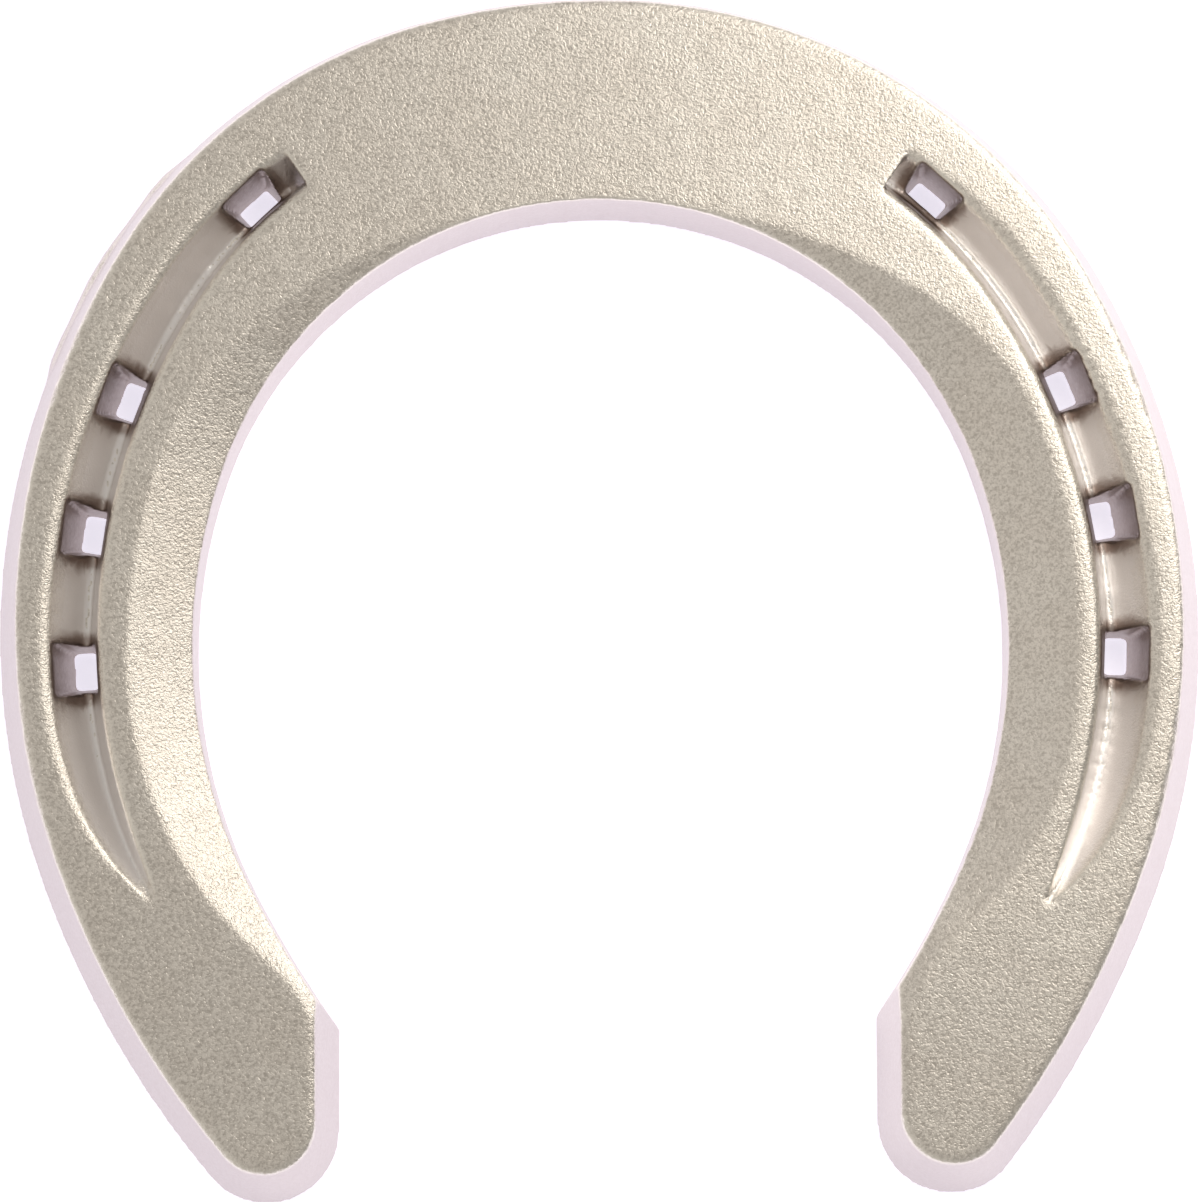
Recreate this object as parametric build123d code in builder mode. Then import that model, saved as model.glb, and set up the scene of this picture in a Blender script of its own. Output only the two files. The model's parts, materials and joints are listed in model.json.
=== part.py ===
"""Fullered front horseshoe in forged aluminium.

The shoe lies on its hoof face, at Z = 0, with the ground face up. The toe points to +Y
and the heels to -Y. Lengths are in millimetres, angles in degrees.
"""

from build123d import *
import math
import os

# ---- the blank ----
thickness = 10.0
outer_draft = 13.2          # the edge is boxed: the ground face is smaller than the hoof face
throat_draft = 2.5
rim_radius = 0.8            # worn edge between the outer wall and the ground face
toe_front = 65.95           # Y of the front of the toe, on the hoof face
gap_top = -40.0             # Y where the heel gap runs into the throat

# Outer edge of each branch on the hoof face, from the toe to the inner side of the heel:
# tangent arcs, as (radius, sweep), for the toe, shoulder, quarter, branch and heel end.
# The right heel is a millimetre shorter than the left one.
outer_arcs = {
    "left": [(74.0, 15.0), (57.5, 44.0), (80.5, 50.0), (104.0, 21.0), (7.8, 140.0)],
    "right": [(73.0, 5.0), (61.5, 56.0), (80.5, 50.0), (113.5, 16.5), (7.9, 142.5)],
}

# Inner edge of the web on the hoof face, from the toe down into the heel gap.
throat_front = 41.15
throat_arcs = {
    "left": [(42.6, 71.0), (57.8, 46.5), (121.0, 9.0)],
    "right": [(42.6, 70.0), (57.6, 44.0), (98.0, 13.0)],
}

# ---- concave seat: the ground face slopes down to the inner edge of the web ----
seat_slope = 22.0           # below the ground face
seat_depth = 4.0
seat_front = 41.15
# Upper edge of the seat, as tangent arcs that end in a reverse bend beside the heel gap.
seat_arcs = {
    "left": [(62.0, 29.0), (38.0, 45.0), (68.0, 16.0), (43.0, 49.0), (20.0, -49.0)],
    "right": [(65.0, 35.0), (27.5, 34.5), (65.0, 29.5), (36.0, 40.0), (21.5, -49.0)],
}

# ---- crease (fullering), one in each branch ----
crease_depth = 5.5
floor_width = 0.8
edge_break = 0.6            # worn edges of the crease
end_wall_slope = 25.0       # of the squared toe end, from upright
toe_end = 41.0              # top of that end wall, along the outer edge from the toe
# Sections of the crease, evenly spaced along the outer edge: inset from that edge of the
# crease's outer edge, floor and inner edge, then the fraction of the full depth.
first_section = 38.0
section_spacing = 10.5
crease_sections = [
    (8.5, 11.3, 12.8, 1.0),
    (8.1, 11.1, 12.7, 1.0),
    (7.6, 10.9, 12.5, 1.0),
    (7.2, 10.6, 12.3, 1.0),
    (6.7, 10.4, 12.0, 1.0),
    (6.2, 10.2, 11.7, 1.0),
    (5.8, 10.0, 11.4, 1.0),
    (5.5, 9.7, 11.2, 1.0),
    (5.6, 9.6, 11.1, 0.95),
    (6.8, 9.8, 11.1, 0.65),
    (10.2, 10.6, 11.0, 0.05),
]

# ---- nail holes: tapered punches through the crease ----
hole_width = 2.4            # across the branch, on the hoof face
hole_length = 3.9           # along the branch, on the hoof face
hole_taper = 0.3            # how far the inner wall leans inwards by the ground face
head_length = 6.3           # seat of the nail head, at the ground face
nail_lean = 1.0             # the nail runs this much towards the toe on its way up the hoof
# Distance of each hole along the outer edge, its inset on the hoof face, and the inset of
# the outer edge of its head seat.
nail_holes = {
    "left": [(47.7, 10.0, 8.2), (77.8, 9.7, 7.1), (95.0, 9.6, 6.5), (112.0, 9.4, 6.0)],
    "right": [(46.0, 9.5, 8.0), (76.0, 9.6, 7.0), (93.0, 9.4, 6.2), (109.9, 9.2, 5.8)],
}

up = Vector(0, 0, 1)


def branch_line(front, arcs, side):
    """Draw tangent arcs from the middle of the toe round one branch; return their end."""
    turn = -1 if side == "right" else 1
    point, heading = Vector(0, front), Vector(-turn, 0)
    for radius, sweep in arcs:
        arc = JernArc(point, heading, radius, turn * sweep)
        point, heading = arc @ 1, arc % 1
    return point


def edge_frame(side, distance):
    """Place on the ground face above the outer edge: X runs inwards and Y runs up."""
    with BuildLine(mode=Mode.PRIVATE) as edge:
        branch_line(toe_front, outer_arcs[side], side)
    for arc in edge.edges():
        if distance <= arc.length:
            break
        distance -= arc.length
    point = arc.position_at(distance, position_mode=PositionMode.LENGTH)
    along = arc.tangent_at(distance, position_mode=PositionMode.LENGTH)
    inward = along.cross(up) if side == "right" else up.cross(along)
    return Plane(origin=point + up * thickness, x_dir=inward, z_dir=inward.cross(up))


def crease_section(outer, floor, inner, fraction):
    """Draw the crease's section: a wide outer slope, a narrow floor, a steep inner wall."""
    depth = crease_depth * fraction
    half_floor = floor_width * fraction / 2
    worn = edge_break * fraction
    outer_run = floor - half_floor - outer
    inner_run = inner - floor - half_floor
    outer_worn = worn / math.hypot(outer_run, depth)
    inner_worn = worn / math.hypot(inner_run, depth)
    with BuildLine() as section:
        Polyline(
            (outer - worn, 1),
            (outer - worn, 0),
            (outer + outer_run * outer_worn, -depth * outer_worn),
            (floor - half_floor, -depth),
            (floor + half_floor, -depth),
            (inner - inner_run * inner_worn, -depth * inner_worn),
            (inner + worn, 0),
            (inner + worn, 1),
            close=True,
        )
    make_face(section.edges())


def crease_tool(side):
    """Make the solid that the crease is cut with, squared at its toe end."""
    with BuildPart() as tool:
        for number, section in enumerate(crease_sections):
            with BuildSketch(edge_frame(side, first_section + number * section_spacing)):
                crease_section(*section)
        loft()
        lean = end_wall_slope if side == "right" else -end_wall_slope
        end_wall = edge_frame(side, toe_end).rotated((lean, 0, 0))
        split(bisect_by=end_wall, keep=Keep.BOTTOM if side == "right" else Keep.TOP)
    return tool.part


with BuildPart() as shoe:
    # blank, with the heel gap
    with BuildSketch():
        with BuildLine():
            left_heel = branch_line(toe_front, outer_arcs["left"], "left")
            right_heel = branch_line(toe_front, outer_arcs["right"], "right")
            Polyline(left_heel, (left_heel.X, gap_top), (right_heel.X, gap_top), right_heel)
        make_face()
    extrude(amount=thickness, taper=outer_draft)
    fillet(shoe.edges().group_by(Axis.Z)[-1], rim_radius)

    # throat
    with BuildSketch():
        with BuildLine():
            left_end = branch_line(throat_front, throat_arcs["left"], "left")
            right_end = branch_line(throat_front, throat_arcs["right"], "right")
            Line(left_end, right_end)
        make_face()
    extrude(amount=thickness, taper=-throat_draft, mode=Mode.SUBTRACT)

    # concave seat
    with BuildSketch(Plane.XY.offset(thickness)):
        with BuildLine():
            left_end = branch_line(seat_front, seat_arcs["left"], "left")
            right_end = branch_line(seat_front, seat_arcs["right"], "right")
            Line(left_end, right_end)
        make_face()
    extrude(amount=-seat_depth, taper=90 - seat_slope, mode=Mode.SUBTRACT)

    for side in ("left", "right"):
        add(crease_tool(side), mode=Mode.SUBTRACT)

        # nail holes, each with its head seat
        for distance, inset, seat_edge in nail_holes[side]:
            foot = edge_frame(side, distance)
            head = edge_frame(side, distance + nail_lean)
            wall = inset + hole_width / 2 + hole_taper
            foot_centre = foot.origin + foot.x_dir * inset - up * thickness
            head_centre = head.origin + head.x_dir * (seat_edge + wall) / 2
            with BuildSketch(Plane(foot_centre, x_dir=foot.x_dir)):
                Rectangle(hole_width, hole_length)
            with BuildSketch(Plane(head_centre, x_dir=head.x_dir)):
                Rectangle(wall - seat_edge, head_length)
            loft(ruled=True, mode=Mode.SUBTRACT)

shoe.part.label = "shoe"
os.makedirs("parts", exist_ok=True)
export_step(shoe.part, "parts/shoe.step")
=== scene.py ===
import json
import math

import bmesh
import bpy
import numpy as np
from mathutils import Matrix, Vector, noise
from mathutils.bvhtree import BVHTree


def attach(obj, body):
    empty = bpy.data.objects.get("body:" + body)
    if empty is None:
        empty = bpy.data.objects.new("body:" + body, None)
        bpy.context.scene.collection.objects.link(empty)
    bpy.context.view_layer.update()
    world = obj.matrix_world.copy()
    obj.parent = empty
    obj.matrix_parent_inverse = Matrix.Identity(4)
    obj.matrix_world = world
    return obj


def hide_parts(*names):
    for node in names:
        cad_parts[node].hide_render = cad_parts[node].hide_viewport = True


MM = 0.001

# --- the mesh, in millimetres unless named otherwise ---
VOXEL = 0.25              # remesh step, fine enough to keep the narrow crease floor
TRIANGLES = 190000        # what the finished piece keeps after thinning
EDGE_ZONE = 8.8           # edges above this height, round the ground face, are rounded more
LEVEL = 0.90              # a normal with a larger upward part than this is on the ground face or seat

# --- marks left by forging; bearings are in degrees round the origin, from +X towards the toe ---
DIE_WAVE = 2.4            # length of the gentle unevenness left by the forging die
DIE_WAVE_HEIGHT = 0.03
NICK = 0.7                # length of the nicks along the ragged outer edge of the right crease
NICK_DEPTH = 0.12
NICK_ZONE = 8.6           # they lie above this height
NICK_RING = (55.5, 59.5)  # between these distances from the origin
NICK_ARC = (12, 18, 42, 48)      # and fade in and out between these bearings
NICK_BEND = (60, 260)     # convexity, per metre, where nicks begin and where they are full
FLASH_REACH = 0.55        # how far the thin flash stands out from the left wall
FLASH_HEIGHT = 2.2        # how far it climbs up the wall
FLASH_ROOT = 1.2          # and the height below which it has its full reach
FLASH_ARC = (132, 136, 156, 159)
FLASH_LUMP = 6            # degrees from one lump of the flash to the next

# --- the finish ---
CRATER = 0.36             # width of one shot-blast crater
FINE_CRATER = 0.19        # width of the smaller craters between them
CRATER_DEPTH = 0.11       # height that the grain's full range stands for
CLOUD = 7                 # width of the faint lighter and darker patches
CAVITY_REACH = 6.0        # a surface this close in front counts as shelter
CAVITY_ZONE = (0.2, 9.9)  # shelter is looked for between these heights
STRAIGHT_UP = 0.999       # and not where the normal points up by more than this
RAY_START = 0.05          # how far in front of the surface a ray sets out
RAY_LEANS = (30, 62)      # degrees between the normal and each ring of rays
RAY_SPOKES = 8            # rays in each ring
POCKET_REACH = 4.2        # how far from its axis a nail's punched pocket reaches
POCKET_FADE = 0.5         # width over which the pocket's painted shade fades out
POCKET_SHELTER = 0.3      # a pocket's wall has more cavity than this
POCKET_FOOT = 0.3         # and lies above this height
WEAR_AND_SHEEN_BEND = (150, 700)    # convexity, per metre, where wear and painted highlight begin and where they are full
WEAR_AND_SHEEN_ZONE = (7, 9)        # heights between which wear and painted highlight come in
WEAR_AND_SHEEN_SHARE = 0.6          # how far full wear and painted highlight take the tone towards bright metal

# --- the studio ---
CAMERA_DISTANCE = 900
CAMERA_AIM = (0, -0.77, 0)
CAMERA_TILT, CAMERA_ROLL = 8.6, -0.28    # degrees
LENS, FILM_HEIGHT = 248.7, 36
KEY_PLACE = (122, 114, 166)
KEY_WIDTH = 180
KEY_POWER = 0.25          # watts: the soft box is small and close
SURROUND = 0.47           # brightness all round
SURROUND_LEAN = -0.20     # added towards +X, so that the left side is the brighter one
TABLE_GLOW = 0.74
TABLE_HALF = 2.0          # metres


# --- scene helpers ---

def linear(hex_colour):
    """Turns an sRGB hex colour into the linear RGBA that a shader takes."""
    channels = [int(hex_colour[i:i + 2], 16) / 255 for i in (1, 3, 5)]
    return [c / 12.92 if c <= 0.04045 else ((c + 0.055) / 1.055) ** 2.4 for c in channels] + [1.0]


def ramp(value, start, end):
    """0 at start, 1 at end, with soft shoulders."""
    t = min(1.0, max(0.0, (value - start) / (end - start)))
    return t * t * (3 - 2 * t)


def arc_fade(bearing, arc):
    """0 outside an arc, 1 well inside it."""
    return ramp(bearing, arc[0], arc[1]) * ramp(bearing, arc[3], arc[2])


def link_object(name, data):
    obj = bpy.data.objects.new(name, data)
    bpy.context.scene.collection.objects.link(obj)
    return obj


def make_camera():
    """Looks down on the ground face, from a little towards the heels."""
    tilt = math.radians(CAMERA_TILT)
    camera = link_object("camera", bpy.data.cameras.new("camera"))
    camera.data.lens = LENS
    camera.data.sensor_fit = "VERTICAL"
    camera.data.sensor_height = FILM_HEIGHT
    back = Vector((0, -math.sin(tilt), math.cos(tilt)))
    camera.location = Vector(CAMERA_AIM) * MM + CAMERA_DISTANCE * MM * back
    camera.rotation_euler = (tilt, 0, 0)
    camera.rotation_euler.rotate_axis("Z", math.radians(CAMERA_ROLL))
    bpy.context.scene.camera = camera


def make_soft_box():
    """A square soft box above and to the right of the toe, turned to face the origin."""
    light = link_object("key_light", bpy.data.lights.new("key_light", "AREA"))
    light.data.shape = "SQUARE"
    light.data.size = KEY_WIDTH * MM
    light.data.energy = KEY_POWER
    light.data.color = linear("#FFFAF2")[:3]
    light.location = Vector(KEY_PLACE) * MM
    light.rotation_euler = (-Vector(KEY_PLACE)).normalized().to_track_quat("-Z", "Y").to_euler()


def make_surround():
    """A soft, even surround, a little brighter on the left."""
    world = bpy.data.worlds.new("studio")
    bpy.context.scene.world = world
    world.use_nodes = True
    tree = world.node_tree
    sky = tree.nodes["Background"]
    sky.inputs["Color"].default_value = linear("#FFFAF3")
    direction = add_node(tree, "ShaderNodeTexCoord").outputs["Generated"]
    side = add_node(tree, "ShaderNodeVectorMath", {0: direction}, operation="DOT_PRODUCT")
    side.inputs[1].default_value = (SURROUND_LEAN, 0, 0)
    strength = add_node(tree, "ShaderNodeMath", {0: side.outputs["Value"]}, operation="ADD")
    strength.inputs[1].default_value = SURROUND
    tree.links.new(strength.outputs[0], sky.inputs["Strength"])


def make_table():
    table = bmesh.new()
    bmesh.ops.create_grid(table, x_segments=1, y_segments=1, size=TABLE_HALF)
    mesh = bpy.data.meshes.new("table_top")
    table.to_mesh(mesh)
    table.free()
    mesh.materials.append(white_table())
    link_object("table_top", mesh)


# --- materials ---

def add_node(tree, kind, links=None, **settings):
    """Adds one node, sets its properties and sockets by name, and links its inputs."""
    node = tree.nodes.new(kind)
    for key, value in settings.items():
        if hasattr(node, key):
            setattr(node, key, value)
        else:
            node.inputs[key.replace("_", " ")].default_value = value
    for socket, source in (links or {}).items():
        tree.links.new(source, node.inputs[socket])
    return node


def blasted_aluminium():
    """Forged aluminium, shot-blasted: a sand-like sparkle over a warm grey satin metal. The crease is
    smoother, and paler by painted fill light; the punched nail pockets are darkened by painted shade; the
    draft walls are pale and nearly grainless, their faint rose tone partly painted reflection of the
    lilac table; and the outer edges are brighter, partly from wear and partly by painted highlight."""
    material = bpy.data.materials.new("shot_blasted_aluminium")
    material.use_nodes = True
    tree = material.node_tree
    shader = tree.nodes["Principled BSDF"]
    shader.inputs["Metallic"].default_value = 1.0
    coordinates = add_node(tree, "ShaderNodeTexCoord")
    place = coordinates.outputs["Object"]
    cavity = add_node(tree, "ShaderNodeAttribute", attribute_name="cavity").outputs["Fac"]
    # painted shade in the sheltered nail pockets
    pocket_shade = add_node(tree, "ShaderNodeAttribute", attribute_name="pocket_shade").outputs["Fac"]
    # partly wear and partly painted highlight on the convex upper edges
    wear_and_sheen = add_node(tree, "ShaderNodeAttribute", attribute_name="wear_and_sheen").outputs["Fac"]
    facing = add_node(tree, "ShaderNodeSeparateXYZ", {0: coordinates.outputs["Normal"]})
    wall = add_node(tree, "ShaderNodeMapRange", {"Value": facing.outputs["Z"]},
                    interpolation_type="SMOOTHSTEP", From_Min=0.75, From_Max=0.40).outputs["Result"]
    plain = add_node(tree, "ShaderNodeMath", {0: wall, 1: cavity}, operation="MAXIMUM", use_clamp=True)

    # the grain: craters of two sizes, nearly gone where the surface is plain
    craters = add_node(tree, "ShaderNodeTexNoise", {"Vector": place},
                       Scale=1 / (CRATER * MM), Detail=1.0, Distortion=0.6)
    fine = add_node(tree, "ShaderNodeTexNoise", {"Vector": place},
                    Scale=1 / (FINE_CRATER * MM), Detail=1.0, Distortion=0.3)
    grain = add_node(tree, "ShaderNodeMix", {"A": craters.outputs["Fac"], "B": fine.outputs["Fac"]},
                     Factor=0.35)
    depth = add_node(tree, "ShaderNodeMapRange", {"Value": plain.outputs[0]}, To_Min=1.0, To_Max=0.25)
    bump = add_node(tree, "ShaderNodeBump",
                    {"Height": grain.outputs["Result"], "Strength": depth.outputs["Result"]},
                    Distance=CRATER_DEPTH * MM)
    tree.links.new(bump.outputs["Normal"], shader.inputs["Normal"])

    # the colour: faint patches, then darker pits, walls (their rose partly painted reflection), the
    # crease's painted fill light, the pockets' painted shade and edges brightened by wear and painted
    # highlight over them
    cloud = add_node(tree, "ShaderNodeTexNoise", {"Vector": place}, Scale=1 / (CLOUD * MM), Detail=3.0)
    tint = add_node(tree, "ShaderNodeMix", {"Factor": cloud.outputs["Fac"]}, data_type="RGBA",
                    A=linear("#E9E1D7"), B=linear("#F3EEE6"))
    pit = add_node(tree, "ShaderNodeMapRange", {"Value": grain.outputs["Result"]},
                   From_Min=0.36, From_Max=0.58, To_Min=0.42, To_Max=0.0)
    open_pit = add_node(tree, "ShaderNodeMath", {0: pit.outputs["Result"], 1: depth.outputs["Result"]},
                        operation="MULTIPLY")
    # the walls' own smoother skin, paler and darker than the ground face; its faint rose tone is partly
    # painted reflection of the lilac table
    wall_skin_and_reflection = add_node(tree, "ShaderNodeMath", {0: wall, 1: cavity}, operation="SUBTRACT",
                         use_clamp=True)
    # painted fill light: the sheltered crease is paled towards near-white so that it looks lit; its
    # smoother grain above is real
    crease = add_node(tree, "ShaderNodeMapRange", {"Value": cavity},
                      From_Min=0.2, From_Max=0.7, To_Max=0.85)
    tone = tint.outputs["Result"]
    # the nail pockets' tone is painted shade, the crease's pale tone is painted fill light, the walls'
    # rose tone is partly painted reflection, and the brightened edges are partly wear and partly painted
    # highlight
    for amount, colour in ((open_pit.outputs[0], "#8E857A"), (wall_skin_and_reflection.outputs[0], "#D6CDCC"),
                           (crease.outputs["Result"], "#F6F3F2"), (pocket_shade, "#B8ABA4"),
                           (wear_and_sheen, "#FBF6EC")):
        tone = add_node(tree, "ShaderNodeMix", {"A": tone, "Factor": amount}, data_type="RGBA",
                        B=linear(colour)).outputs["Result"]
    tree.links.new(tone, shader.inputs["Base Color"])
    polish = add_node(tree, "ShaderNodeMapRange", {"Value": craters.outputs["Fac"]},
                      From_Min=0.3, From_Max=0.7, To_Min=0.34, To_Max=0.46)
    tree.links.new(polish.outputs["Result"], shader.inputs["Roughness"])
    return material


def white_table():
    """A matt white table top, lit from within so that it stays evenly white. Its glow is faintly
    lilac, which the shoe's walls mirror."""
    material = bpy.data.materials.new("white_table")
    material.use_nodes = True
    shader = material.node_tree.nodes["Principled BSDF"]
    shader.inputs["Base Color"].default_value = linear("#F4F4F8")
    shader.inputs["Roughness"].default_value = 0.9
    shader.inputs["Emission Color"].default_value = linear("#F4F0FF")
    shader.inputs["Emission Strength"].default_value = TABLE_GLOW
    return material


# --- the shoe ---

def merged_copy(node, name):
    """A new piece with the CAD node's shape, its loose triangles joined."""
    bm = bmesh.new()
    bm.from_mesh(node.data)
    bmesh.ops.remove_doubles(bm, verts=bm.verts, dist=0.001 * MM)
    mesh = bpy.data.meshes.new(name)
    bm.to_mesh(mesh)
    bm.free()
    return link_object(name, mesh)


def apply_modifiers(piece):
    graph = bpy.context.evaluated_depsgraph_get()
    mesh = bpy.data.meshes.new_from_object(piece.evaluated_get(graph))
    piece.modifiers.clear()
    piece.data = mesh


def remesh(piece):
    step = piece.modifiers.new("remesh", "REMESH")
    step.mode = "VOXEL"
    step.voxel_size = VOXEL * MM
    step.use_smooth_shade = True
    apply_modifiers(piece)


def smooth(piece, rounds, chosen=None):
    """Relaxes the chosen vertices, or all of them, which rounds the edges they lie on."""
    step = piece.modifiers.new("smooth", "SMOOTH")
    step.factor = 0.5
    step.iterations = rounds
    if chosen is not None:
        group = piece.vertex_groups.new(name="smooth")
        group.add(chosen, 1.0, "REPLACE")
        step.vertex_group = group.name
    apply_modifiers(piece)
    piece.vertex_groups.clear()


def soften(piece):
    """Rounds the forged edges: all of them a little, those of the ground face more, and the seat's
    shoulder, where it meets the ground face at a low angle, over the widest band."""
    smooth(piece, 3)
    smooth(piece, 6, [v.index for v in piece.data.vertices if v.co.z > EDGE_ZONE * MM])
    smooth(piece, 24, [v.index for v in piece.data.vertices if v.normal.z > LEVEL])


def places_and_normals(mesh):
    """Every vertex's place and normal, as two tables of three columns, read in bulk before any vertex
    is moved."""
    place, normal = np.empty(len(mesh.vertices) * 3), np.empty(len(mesh.vertices) * 3)
    mesh.vertices.foreach_get("co", place)
    mesh.vertices.foreach_get("normal", normal)
    return place.reshape(-1, 3), normal.reshape(-1, 3)


def convexity(mesh):
    """How sharply each vertex stands out from its neighbours, per metre: above 0 on an outer edge."""
    place, normal = places_and_normals(mesh)
    ends = np.empty(len(mesh.edges) * 2, np.int32)
    mesh.edges.foreach_get("vertices", ends)
    first, second = ends[0::2], ends[1::2]
    along = place[second] - place[first]
    squared = (along ** 2).sum(1)
    bend, near = np.zeros(len(place)), np.zeros(len(place))
    for here, step in ((second, along), (first, -along)):
        np.add.at(bend, here, 2 * (step * normal[here]).sum(1) / squared)
        np.add.at(near, here, 1)
    bend /= near
    spread = bend.copy()
    np.add.at(spread, first, bend[second])
    np.add.at(spread, second, bend[first])
    return spread / (near + 1)


def nick_depth(p, bearing, radius, sharp):
    """How deep the nicks cut at a point of the right crease's outer edge, in millimetres."""
    on_arc = NICK_ARC[0] < bearing < NICK_ARC[3]
    if not (on_arc and p.z > NICK_ZONE and NICK_RING[0] < radius < NICK_RING[1]):
        return 0.0
    ragged = ramp(sharp, *NICK_BEND) * arc_fade(bearing, NICK_ARC)
    return NICK_DEPTH * ragged * max(0.0, noise.noise(p / NICK) + 0.15)


def flash_reach(p, n, bearing, radius):
    """How far the flash stands out at a point of the left wall, in millimetres."""
    on_arc = FLASH_ARC[0] < bearing < FLASH_ARC[3]
    if not (on_arc and p.z < FLASH_HEIGHT and n.z < LEVEL):
        return 0.0
    outwards = (p.x * n.x + p.y * n.y) / radius
    rise = arc_fade(bearing, FLASH_ARC) * ramp(p.z, FLASH_HEIGHT, FLASH_ROOT)
    lumpy = 0.75 + 0.5 * noise.noise(Vector((bearing / FLASH_LUMP, 0, 0)))
    return FLASH_REACH * rise * lumpy * max(0.0, outwards)


def forge_marks(piece):
    """Moves the surface along its normals: the die's unevenness everywhere, nicks along the outer edge
    of the right crease, and a thin flash low on the wall of the left toe quarter."""
    place, normal = places_and_normals(piece.data)
    bend = convexity(piece.data)
    move = np.zeros(len(place))
    for i in range(len(place)):
        p, n = Vector(place[i]) / MM, Vector(normal[i])
        bearing = math.degrees(math.atan2(p.y, p.x))
        radius = math.hypot(p.x, p.y)
        move[i] = DIE_WAVE_HEIGHT * noise.noise(p / DIE_WAVE)
        move[i] -= nick_depth(p, bearing, radius, bend[i])
        move[i] += flash_reach(p, n, bearing, radius)
    moved = place + normal * move[:, None] * MM
    moved[:, 2] = np.maximum(moved[:, 2], 0)    # nothing goes below the hoof face
    piece.data.vertices.foreach_set("co", moved.ravel())
    piece.data.update()


def thin(piece):
    step = piece.modifiers.new("thin", "DECIMATE")
    step.ratio = min(1.0, TRIANGLES / (2 * len(piece.data.polygons)))
    step.use_collapse_triangulate = True
    apply_modifiers(piece)


def shelter_rays():
    """Directions over the half space around +Z: one straight out, and rings that lean away from it."""
    rays = [Vector((0, 0, 1))]
    for ring, degrees in enumerate(RAY_LEANS):
        lean = math.radians(degrees)
        for spoke in range(RAY_SPOKES):
            turn = 2 * math.pi * (spoke + 0.5 * ring) / RAY_SPOKES
            rays.append(Vector((math.sin(lean) * math.cos(turn), math.sin(lean) * math.sin(turn),
                                math.cos(lean))))
    return rays


def measure_cavity(mesh, place, normal):
    """1 deep in the crease and pockets, 0 in the open: how many rays soon meet another surface. The
    hoof and ground faces, and whatever faces straight up, are left at 0."""
    shape = bmesh.new()
    shape.from_mesh(mesh)
    tree = BVHTree.FromBMesh(shape)
    shape.free()
    rays = shelter_rays()
    lowest, highest = CAVITY_ZONE[0] * MM, CAVITY_ZONE[1] * MM
    cavity = np.zeros(len(place))
    for i in range(len(place)):
        if lowest < place[i][2] < highest and normal[i][2] < STRAIGHT_UP:
            n = Vector(normal[i])
            turn = n.to_track_quat("Z", "Y")
            start = Vector(place[i]) + n * RAY_START * MM
            hits = sum(tree.ray_cast(start, turn @ ray, CAVITY_REACH * MM)[0] is not None for ray in rays)
            cavity[i] = min(1.0, 2 * hits / len(rays))
    return cavity


def measure_pockets(place, cavity, nail_axes):
    """1 on the punched walls round each nail, where the colour gets painted shade."""
    pocket_shade = np.zeros(len(place))
    for foot, along in nail_axes:
        aside = place - foot
        aside -= np.outer(aside @ along, along)
        away = np.sqrt((aside ** 2).sum(1)) / MM
        pocket_shade = np.maximum(pocket_shade, np.clip((POCKET_REACH - away) / POCKET_FADE, 0, 1))
    return pocket_shade * (cavity > POCKET_SHELTER) * (place[:, 2] > POCKET_FOOT * MM)


def mark_surfaces(piece, nail_axes):
    """Stores what the finish follows: cavity; the nail pockets' painted shade; and the brightening above
    0 on the outer edges of the ground face, partly wear and partly painted highlight."""
    mesh = piece.data
    place, normal = places_and_normals(mesh)
    cavity = measure_cavity(mesh, place, normal)
    pocket_shade = measure_pockets(place, cavity, nail_axes)
    bend = convexity(mesh)
    # convex upper edges brightened: partly wear, partly painted highlight
    wear_and_sheen = [WEAR_AND_SHEEN_SHARE * ramp(b, *WEAR_AND_SHEEN_BEND) * ramp(p[2] / MM, *WEAR_AND_SHEEN_ZONE)
            for p, b in zip(place, bend)]
    for name, values in (("cavity", cavity), ("pocket_shade", pocket_shade), ("wear_and_sheen", wear_and_sheen)):
        mesh.attributes.new(name, "FLOAT", "POINT").data.foreach_set("value", values)


def find_nail_axes(record):
    """Each nail hole's foot on the hoof face, and its direction."""
    nails = [m for m in record["mounts"] if m["name"].startswith("nail_hole")]
    return [(np.array(m["pos_m"]), np.array(Vector(m["axis"]).normalized())) for m in nails]


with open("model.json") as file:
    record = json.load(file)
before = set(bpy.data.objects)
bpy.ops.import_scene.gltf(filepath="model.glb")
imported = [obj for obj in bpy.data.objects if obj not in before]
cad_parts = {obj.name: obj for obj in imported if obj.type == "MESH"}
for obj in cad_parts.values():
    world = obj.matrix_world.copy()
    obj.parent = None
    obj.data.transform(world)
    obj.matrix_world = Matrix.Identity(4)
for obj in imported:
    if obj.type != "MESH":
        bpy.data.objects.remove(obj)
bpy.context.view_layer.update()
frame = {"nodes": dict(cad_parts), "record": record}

make_camera()
forged_shoe = merged_copy(frame["nodes"]["shoe"], "forged_shoe")
remesh(forged_shoe)
soften(forged_shoe)
forge_marks(forged_shoe)
thin(forged_shoe)
mark_surfaces(forged_shoe, find_nail_axes(frame["record"]))
forged_shoe.data.materials.clear()
forged_shoe.data.materials.append(blasted_aluminium())
forged_shoe.data.shade_smooth()
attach(forged_shoe, "root")
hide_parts("shoe")

make_table()
make_surround()
make_soft_box()
bpy.context.scene.view_settings.view_transform = "Standard"
